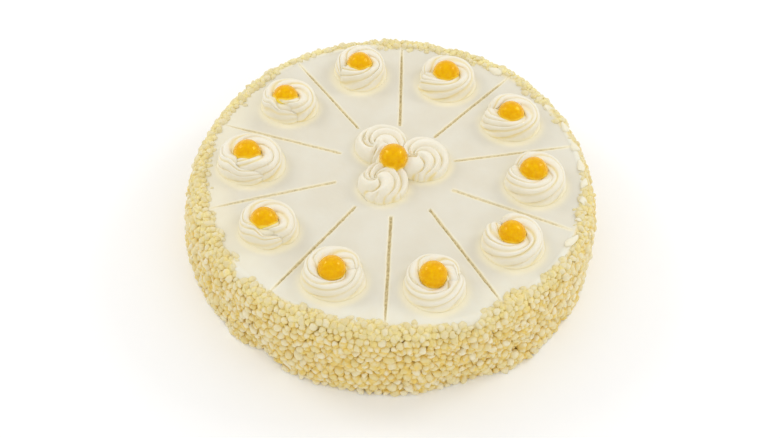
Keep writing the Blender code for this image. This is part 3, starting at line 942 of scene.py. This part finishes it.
def swept_rope(middle, outward, half, crest, inner_rise, turn, funnel, seed):
    """Rings of points of a star rope. Everything is given at each step of its path."""
    steps = len(middle)
    wobble = rope_noise(steps, WOBBLE_PACE, seed)
    uneven_width = rope_noise(steps, WIDTH_PACE, seed + 20)
    section = turn[:, None] - nozzle_at[None, :] + 0.3 * uneven_width
    side, rise = np.cos(section), np.sin(section)
    below = np.clip(-rise, 0, 1)
    square = ease(below / 0.5)
    shape = np.abs(ridge_at)[None, :] ** 2.3 * (1 - ease((below ** 0.6 - 0.5) / 0.3))
    reach = (1 - CREASE_DEPTH * (1 + 0.5 * wobble) * shape) * (1 + 0.07 * wobble)
    side = side + (np.sign(side) * np.abs(side) ** 0.25 - side) * square
    side = np.where((side < 0) & (rise > 0), -(np.abs(side) ** funnel[:, None]), side)
    rise = np.where(rise < 0, -(below ** 0.6), rise)
    spread_foot = FLARE * ease((-rise - 0.2) / 0.72) * (1 - 1.3 * shape) * (side > 0)
    off_middle = half[:, None] * side * (reach + spread_foot)
    plan = middle[:, None, :] + outward[:, None, :] * off_middle[..., None]
    centre = (crest * MIDDLE_SHARE)[:, None] + inner_rise[:, None] * (1 - side) / 2
    tall = np.where(rise > 0, crest[:, None] - centre, centre)
    height = CREAM_BASE + np.maximum(centre + tall * rise * np.where(rise > 0, reach, 1.2), -0.5 * MM)
    # The creases between the ridges are painted a deeper yellow: painted shade
    crease = ease((np.abs(ridge_at)[None, :] - 0.55) / 0.45) * np.clip(0.65 + 0.9 * uneven_width, 0.15, 1)
    return np.dstack([plan, height[..., None]]), crease


def closed(rings):
    """Points and faces of a stack of rings, with both ends shut."""
    steps, columns, _ = rings.shape
    ends = np.stack([rings[0].mean(axis=0), rings[-1].mean(axis=0)])
    points = np.concatenate([rings.reshape(-1, 3), ends])
    last = steps * columns
    faces = [ring_faces(steps, columns)[:, ::-1], fan_faces(last, np.arange(columns)[::-1]),
             fan_faces(last + 1, np.arange(last - columns, last))]
    return points, faces


def press_round(points, ball, clear, snug):
    """Push cream that would be inside a ball out to its surface, and draw what is close against it."""
    away = points - ball
    length = np.linalg.norm(away, axis=1)
    beyond = np.maximum(length - clear, 0)
    drawn = np.where(beyond < snug, beyond ** 3 / snug ** 2, beyond)
    return ball + away * ((clear + drawn) / length)[:, None], drawn


print("points round the rope:", len(nozzle_at))

# %% The cup under a ball
BALL = 9.0 * MM
# Share of the ball's radius that the cream is pressed out to
PRESSED = 0.955
TOUCH_SHADE = 1.8 * MM
FOOT_SHADE = 3.0 * MM
CUP_SIDES = 48
# Radius and height in mm from the foot of the cup over its lip and in
CUP_MM = ((12.8, 0.0), (12.6, 5.0), (11.6, 7.8), (10.2, 8.6), (8.0, 7.6), (4.0, 5.0))


def cream_cup(ball, width, height, lower_near):
    """A low cup of cream under the rope, so that no hole is left where the rope opens."""
    circle = directions(np.arange(CUP_SIDES) / CUP_SIDES * math.tau)
    level = height * (1 - lower_near * ease(-circle[:, 1] / 0.8))
    rings = [np.column_stack([ball[:2] + circle * wide * width * MM, CREAM_BASE + high * level * MM])
             for wide, high in CUP_MM]
    return closed(np.array(rings)[:, ::-1])


def piped_piece(node, rope, crease, ball, ball_radius, snug, cup, golden):
    """Cream and cup in one mesh, pressed round the ball. cup is its width, height and fall in front."""
    rope_points, rope_faces = closed(rope)
    cup_points, cup_faces = cream_cup(ball, *cup)
    points, beyond = press_round(np.concatenate([rope_points, cup_points]), ball, PRESSED * ball_radius, snug)
    faces = rope_faces + [group + len(rope_points) for group in cup_faces]
    marks = np.concatenate([crease.ravel(), np.zeros(2 + len(cup_points))])
    # Painted light: cream near the ball and the cup under it are golden, where they would lie in shade
    beside_ball = 0.8 * ease(1 - beyond / TOUCH_SHADE)
    beside_ball[len(rope_points):] = np.maximum(beside_ball[len(rope_points):], golden)
    # Painted light: the cream is warmer low down near the icing, in place of the shade at its foot
    foot = 0.9 * ease((FOOT_SHADE - (points[:, 2] - CREAM_BASE)) / FOOT_SHADE)
    piece = mesh_piece(f"piped_{node}", points, faces, cream,
                       crease=marks, foot=foot, beside_ball=beside_ball)
    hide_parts(node)
    return piece, points


print("cup height in mm:", max(high for _, high in CUP_MM))

# %% [markdown]
# ## Ten rosettes with a ball
# All ten were piped alike, but each came out its own size, and the rope starts and ends elsewhere.
# It starts against the ball and spirals outwards, so its last part runs outside its first, lower and
# thinner, and ends in a tip. Some ropes stop short of a full turn and leave a notch instead. Where
# the nozzle touched down it turned on the spot, so the first strands fan out quickly. The ball was
# pressed in last: cream that would be inside it is pushed out to its surface, and on the near side
# it stands a little higher and hides the foot of the ball.

# %% The rosettes
RING_BALL_HEIGHT = 10.4 * MM
STEPS_PER_TURN = 96
# Offset of the ball from the rosette's middle in mm, its share of full size, crest height in mm,
# bearing where the rope starts, degrees it runs on after a full turn, rise in mm on the near side
# and how far the cream opens like a funnel there
ROSETTES = (
    (-0.6, -2.2, 0.98, 12.4, 150, 5, 1.6, 0.4), (-0.7, -0.4, 1.00, 12.2, 168, 8, 1.6, 0.4),
    (-0.3, -1.5, 0.97, 12.6, 183, 28, 2.4, 0.3), (-2.2, -1.8, 0.95, 12.8, 222, 80, 3.2, 0.0),
    (-1.8, 0.5, 1.00, 12.6, 225, 85, 3.2, 0.0), (-2.0, -1.8, 0.96, 12.2, 240, 78, 2.2, 0.0),
    (-1.0, -0.9, 0.95, 12.5, 345, 45, -0.6, 1.4), (-1.6, 1.8, 0.96, 12.3, 328, 62, -1.0, 2.2),
    (-1.2, 0.9, 0.96, 12.6, 125, 0, 0.6, 0.6), (-1.8, 1.5, 1.00, 12.5, 148, -4, 1.0, 0.4),
)
# How much the start and the end of a rope make way for each other
END_ROOM = 3.6 * MM
START_ROOM = 3.6 * MM
# The foot lies inside the outline by this much, less on the far side and more on the near side
FOOT = 1.4 * MM
FAR_ROOM = 1.6 * MM
NEAR_ROOM = 1.3 * MM
# The rope's inner wall, as a share of the ball's radius
INNER_WALL = 0.93
# Cream this near the ball is drawn to it, and the thin start of the rope lies close against it
SNUG = 3.6 * MM
HUG = 0.7
# How much the ridges turn with the rope, and over how many radians the first strands fan out
RIDGE_TURN = 0.65
FAN_OUT = 0.8
# Cups: even round an open rosette, and higher in front where a strand hides the foot of the ball
OPEN_CUP = (1.0, 1.0, 0.08)
CLOSED_CUP = (0.93, 1.1, -0.35)


def ring_rosette(index, spec):
    """One rosette and the middle of its ball."""
    radius, bearing_deg, half_x, half_y = ROSETTE_PLACES[index]
    ball_x, ball_y, share, crest_mm, start_deg, run_on_deg, near_rise, open_near = spec
    middle = on_plan(radius * MM, bearing_deg)
    ball = np.array([*(middle + np.array([ball_x, ball_y]) * MM), ICING_TOP + RING_BALL_HEIGHT])
    start, run_on = math.radians(start_deg), math.radians(run_on_deg)
    end = math.tau + run_on
    way = np.linspace(0, end, int(STEPS_PER_TURN * end / math.tau))
    plan = directions(start + way)
    # The rope is narrow where it starts and ends, and its ends make way for each other
    overlaps = ease(run_on / 0.6)
    beside_end = ease((run_on - way) / 0.7 + 0.4) * overlaps
    beside_start = ease((way - math.tau) / 0.7 + 0.15) * overlaps
    far = ease(plan[:, 1])
    outer = middle + plan * np.array([half_x, half_y]) * MM
    outer -= plan * (FOOT - FAR_ROOM * far + NEAR_ROOM * ease(-plan[:, 1]) + END_ROOM * beside_end)[:, None]
    inner = ball[:2] + plan * (INNER_WALL * BALL * share + START_ROOM * beside_start)[:, None]
    opening = 0.45 + 0.55 * np.sqrt(ease(way / 0.55))
    to_end = np.clip((end - way) / 0.8, 0.005, 1)
    closing = np.sqrt(to_end * (2 - to_end))
    full = np.linalg.norm(outer - inner, axis=1) / 2
    half = full * opening * closing
    path = (outer + inner) / 2 - plan * (HUG * full * (1 - opening))[:, None]
    # On the near side the crest stands higher, and the ridges lean as they go round
    near = ease((np.cos(start + way + math.pi / 2) - 0.1) / 0.7) * (1 - beside_start)
    crest = crest_mm * opening ** 0.5 * (1 - 0.14 * beside_start) * (0.3 + 0.7 * closing) + near_rise * near
    crest = crest * MM
    turn = RIDGE_TURN * (start + way) + (1 - np.exp(-way / FAN_OUT))
    funnel = 0.62 + open_near * near
    inner_rise = crest * (0.25 - 0.12 * open_near * near)
    rope, crease = swept_rope(path, plan, half, crest, inner_rise, turn, funnel, index)
    # The cup of an open rosette is painted golden, painted light where it lies in shade; a closed one only a
    # little
    cup, golden = ((*OPEN_CUP[:2], OPEN_CUP[2] * open_near), 0.7) if open_near else (CLOSED_CUP, 0.1)
    snug = SNUG + 0.6 * MM * open_near
    node = f"rosette_{index + 1:02d}"
    piece, points = piped_piece(node, rope, crease, ball, BALL * share, snug, cup, golden)
    return piece, points, ball


ball_middles = []
cream_round = []
for index, spec in enumerate(ROSETTES):
    piece, points, ball = ring_rosette(index, spec)
    ball_middles.append(ball)
    cream_round.append(points)
print("rosettes:", len(ball_middles), "of about", triangles(piece), "triangles")

# %% [markdown]
# ## Three swirls in the middle
# These are closed: the nozzle touched down at one side, went round once and hooked into the middle,
# where it left a small tip. The strands start close together at the foot, run round side by side as
# nested arcs and draw together at the tip. A rope that closes on itself would leave a hole there, so
# these are made as a mound instead, a fine polar grid round the tip. Each crease is a curve of its
# own: it starts at a bearing of the foot and turns by so many degrees on its way in. The three were
# piped so close that they press against each other, and the last ball rests on their flanks.

# %% How the creases of a swirl run
# Bearing at the foot, degrees turned on the way to the tip, bend, depth, and share of the way out
# from the tip at which it starts
RIGHT_CREASES = (
    (255, 105, 0.9, 1.0, 0.0), (292, 240, 1.5, 0.9, 0.0), (308, 240, 0.95, 1.0, 0.0),
    (370, 200, 0.62, 0.9, 0.0), (455, 125, 0.6, 0.8, 0.0), (272, 25, 1.0, 0.8, 0.8),
)
FRONT_CREASES = (
    (216, 120, 0.9, 1.0, 0.0), (262, 60, 0.9, 0.7, 0.75), (292, 240, 1.4, 0.9, 0.0),
    (313, 225, 0.95, 1.0, 0.0), (370, 200, 0.62, 0.9, 0.0), (455, 125, 0.6, 0.8, 0.0),
    (335, 20, 1.0, 0.7, 0.85),
)
BACK_CREASES = (
    (340, 260, 0.35, 1.0, 0.3), (320, 260, 0.6, 1.0, 0.2), (290, 250, 0.9, 0.9, 0.1),
    (243, 10, 1.0, 1.0, 0.25), (60, 140, 0.5, 0.9, 0.5), (262, 150, 0.9, 0.6, 0.1),
)
CREASE_REACH = 3.0 * MM
CREASE_LINE = 0.8 * MM


def beside_crease(bearing, share, reach, crease):
    """How near each point is to a crease, as a soft valley and as a narrow line of painted shade in it."""
    foot, turn, bend, depth, begins = crease
    inward = 1 - share
    line = foot + turn * inward ** bend
    slant = np.radians(turn) * bend * np.maximum(inward, 0.02) ** (bend - 1) * share
    apart = degrees_off(np.degrees(bearing)[None, :], line)
    off = np.radians(np.abs(apart)) * share * reach[None, :] * MM / np.hypot(1, slant)
    depth = depth * ease((share - begins) / 0.15 + (begins == 0)) * ease(share / 0.15)
    return depth * np.clip(1 - off / CREASE_REACH, 0, 1) ** 1.6, depth * ease(1 - off / CREASE_LINE)


print("creases of the three swirls:", len(BACK_CREASES), len(RIGHT_CREASES), len(FRONT_CREASES))

# %% The swirls
CENTRE_BALL = np.array([0.2, 2.5, 13.0]) * MM + np.array([0, 0, ICING_TOP])
SWIRL_CREST = 12.4 * MM
SWIRL_WAVE = 0.9 * MM
FOOT_SPREAD = 0.9 * MM
TIP_RISE = 1.8 * MM
BALL_RISE = 2.0 * MM
BALL_RISE_WIDTH = 4.0 * MM
VALLEY = 3.6 * MM
CENTRE_SNUG = 2.4 * MM
# The cup under the centre ball belongs to the first swirl. The one in the others stays inside them.
CENTRE_CUP = (0.9, 1.2, 0.5)
NO_CUP = (0.3, 0.1, 0.0)
SWIRL_COLUMNS = 288
SWIRL_RINGS = 80
USUAL_RADIUS_MM = 17
# Place of the tip in mm, bearing of a bulge in the outline and its share, creases
SWIRLS = ((-9.5, 15.5, 215, 0.0, BACK_CREASES), (15.6, 5.6, 212, 0.16, RIGHT_CREASES),
          (-9.2, -14.2, 30, 0.08, FRONT_CREASES))


def to_outline(plan, tip, middle, half):
    """Distance in mm from the tip to the outline, an ellipse, in each direction."""
    offset = (tip - middle) / half
    step = plan / half
    along = step @ offset
    length = np.sum(step * step, axis=1)
    return (-along + np.sqrt(along ** 2 - length * (offset @ offset - 1))) / length


def centre_swirl(index, spec):
    """One closed swirl."""
    tip_x, tip_y, bulge_deg, bulge_share, creases = spec
    tip = np.array([tip_x, tip_y])
    place = np.array(SWIRL_PLACES[index])
    bearing = np.arange(SWIRL_COLUMNS) / SWIRL_COLUMNS * math.tau
    plan = directions(bearing)
    bulging = bulge_share * hill(degrees_off(np.degrees(bearing), bulge_deg), 32)
    reach = to_outline(plan, tip, place[:2], place[2:]) * (1 + bulging)
    climb = np.linspace(0, 1, SWIRL_RINGS)[:, None] * math.pi / 2
    share = np.cos(climb) ** 0.8
    valley = line = np.zeros((SWIRL_RINGS, SWIRL_COLUMNS))
    for crease in creases:
        near, on_line = beside_crease(bearing, share, reach, crease)
        valley = np.maximum(valley, near)
        line = np.maximum(line, on_line)
    flat = np.dstack([plan[None] * share[..., None] * USUAL_RADIUS_MM, np.zeros_like(valley)]).reshape(-1, 3)
    wave = rough(flat, 8, index + 4).reshape(valley.shape) * share
    uneven = rough(flat, 5, index + 11).reshape(valley.shape)
    at_foot = ease(1 - climb / 0.45)
    wide = share * reach * (1 - (0.05 + 0.06 * at_foot) * valley) * MM + FOOT_SPREAD * (at_foot - 0.8)
    ring = tip * MM + plan[None] * np.maximum(wide, 0.0)[..., None]
    to_ball = np.linalg.norm(ring - CENTRE_BALL[:2], axis=2)
    tall = SWIRL_CREST * np.sin(climb) ** 0.62 - VALLEY * valley * np.minimum(1.0, 1.4 * np.sin(climb))
    tall = tall + TIP_RISE * ease(1 - share / 0.34) + SWIRL_WAVE * wave
    tall = tall + BALL_RISE * hill(to_ball - 11 * MM, BALL_RISE_WIDTH) * np.sin(climb)
    points = np.dstack([ring, CREAM_BASE + np.maximum(tall, 0.0)])
    # The crease lines are painted shade
    crease = line * np.clip(0.6 + uneven, 0.15, 1)
    cup = CENTRE_CUP if index == 0 else NO_CUP
    node = f"centre_rosette_{index + 1}"
    return piped_piece(node, points, crease, CENTRE_BALL, BALL, CENTRE_SNUG, cup, 0.0)


swirl_points = []
for index, spec in enumerate(SWIRLS):
    piece, points = centre_swirl(index, spec)
    swirl_points.append(points)
ball_middles.append(CENTRE_BALL)
cream_round.append(np.concatenate(swirl_points))
print("swirl:", triangles(piece), "triangles")

# %% [markdown]
# ## Glazed balls
# The balls are orange-yellow and glossy, with a thick glaze that softens the highlights. They look
# round, but none is perfect: a little unevenness bends the reflections of the lamps. The glaze is a
# coat over a slightly translucent body. It has run down a little, so a ball is wider low down. Where
# it touches the cream it is painted a brighter golden, painted light in the gap that lies in shade.

# %% Ball material
glaze, tree, shader = food_material(
    "lemon_ball", roughness=0.14, specular=0.5, sss=0.3, sss_radius_mm=1.8,
    bump_mm=0.25, broad_mm=4.0, fine_mm=1.0, fine_share=0.3)
shader.inputs["Coat Weight"].default_value = 0.02
shader.inputs["Coat Roughness"].default_value = 0.1
shader.inputs["Specular Tint"].default_value = (1.0, 0.85, 0.15, 1.0)
lemon = drifting(tree, (240, 184, 0), (230, 164, 0), 2.6, 0.9)
link(tree, layered(tree, lemon, ("touch", (254, 222, 84))), shader.inputs["Base Color"])
print("material:", glaze.name)

# %% The balls
def to_cream(points, cream_points):
    """Distance of each point to the nearest point of the cream."""
    near = finder(cream_points)
    return np.array([near.find(point)[2] for point in points])


smooth_points, smooth_faces = quad_ball(15)
# How much wider a ball is low down, how uneven it is, and how near the cream has to be to touch it
POOL = 0.06
UNEVEN = 0.03
TOUCHING = 0.4 * MM
TOUCH_WIDTH = 1.1 * MM
for index, middle in enumerate(ball_middles):
    uneven = 1 + UNEVEN * rough(smooth_points, 1.3, index * 3.7)
    uneven /= uneven.max()
    share = ROSETTES[index][2] if index < len(ROSETTES) else 1.0
    shape = smooth_points * uneven[:, None]
    shape[:, :2] *= (1 + POOL * ease((-shape[:, 2] - 0.1) / 0.4))[:, None]
    points = middle + shape * BALL * share
    apart = to_cream(points, cream_round[index])
    # Painted light: the glaze is brighter golden where it touches the cream
    touch = ease(1 - (apart - TOUCHING) / TOUCH_WIDTH)
    piece = mesh_piece(f"glazed_ball_{index + 1:02d}", points, [smooth_faces], glaze, touch=touch)
    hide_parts(f"ball_{index + 1:02d}")
print("ball:", triangles(piece), "triangles")

# %% [markdown]
# ## Floor and light
# The cake was photographed on white under soft studio light. Two lamps behind it on the left and
# the right give each ball its two highlights, a large one in front lights the side, and white
# surroundings fill the shadows.

# %% Floor
floor_paint = bpy.data.materials.new("pale_floor")
floor_paint.use_nodes = True
shader = floor_paint.node_tree.nodes["Principled BSDF"]
shader.inputs["Base Color"].default_value = (1.0, 1.0, 1.0, 1.0)
shader.inputs["Roughness"].default_value = 0.8
floor_mesh = bpy.data.meshes.new("floor")
floor_mesh.from_pydata([(-3, -3, 0), (3, -3, 0), (3, 3, 0), (-3, 3, 0)], [], [(0, 1, 2, 3)])
floor_mesh.materials.append(floor_paint)
floor = bpy.data.objects.new("floor", floor_mesh)
bpy.context.scene.collection.objects.link(floor)
floor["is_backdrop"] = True
print("floor ready")

# %% Lamps and surroundings
# Name, place, height it points at, width and height in metres, and watts
LAMPS = (
    ("left_lamp", (-0.8, 0.35, 0.75), 0.05, (0.34, 0.34), 1.8),
    ("right_lamp", (0.8, 0.35, 0.75), 0.05, (0.34, 0.34), 1.8),
    ("front_lamp", (0.95, -2.35, 1.5), 0.03, (2.4, 1.4), 6.4),
)
for name, place, aim_height, size, watts in LAMPS:
    data = bpy.data.lights.new(name, "AREA")
    data.shape = "RECTANGLE"
    data.size, data.size_y = size
    data.energy = watts
    lamp = bpy.data.objects.new(name, data)
    lamp.location = place
    aim = Vector((0, 0, aim_height)) - Vector(place)
    lamp.rotation_euler = aim.to_track_quat("-Z", "Y").to_euler()
    bpy.context.scene.collection.objects.link(lamp)
world = bpy.data.worlds.new("studio")
world.use_nodes = True
sky = world.node_tree.nodes["Background"]
sky.inputs["Color"].default_value = (1, 1, 1, 1)
sky.inputs["Strength"].default_value = 0.87
bpy.context.scene.world = world
bpy.context.scene.view_settings.view_transform = "Standard"
print("lamps ready")

# %% [markdown]
# ## Finish
# The dressed cake has to fit the box of its solids, so its height and width are printed.

# %% Print the size and finish
low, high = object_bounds()
print("height in mm:", round((high.z - low.z) / MM, 1), "width in mm:", round((high.x - low.x) / MM, 1))
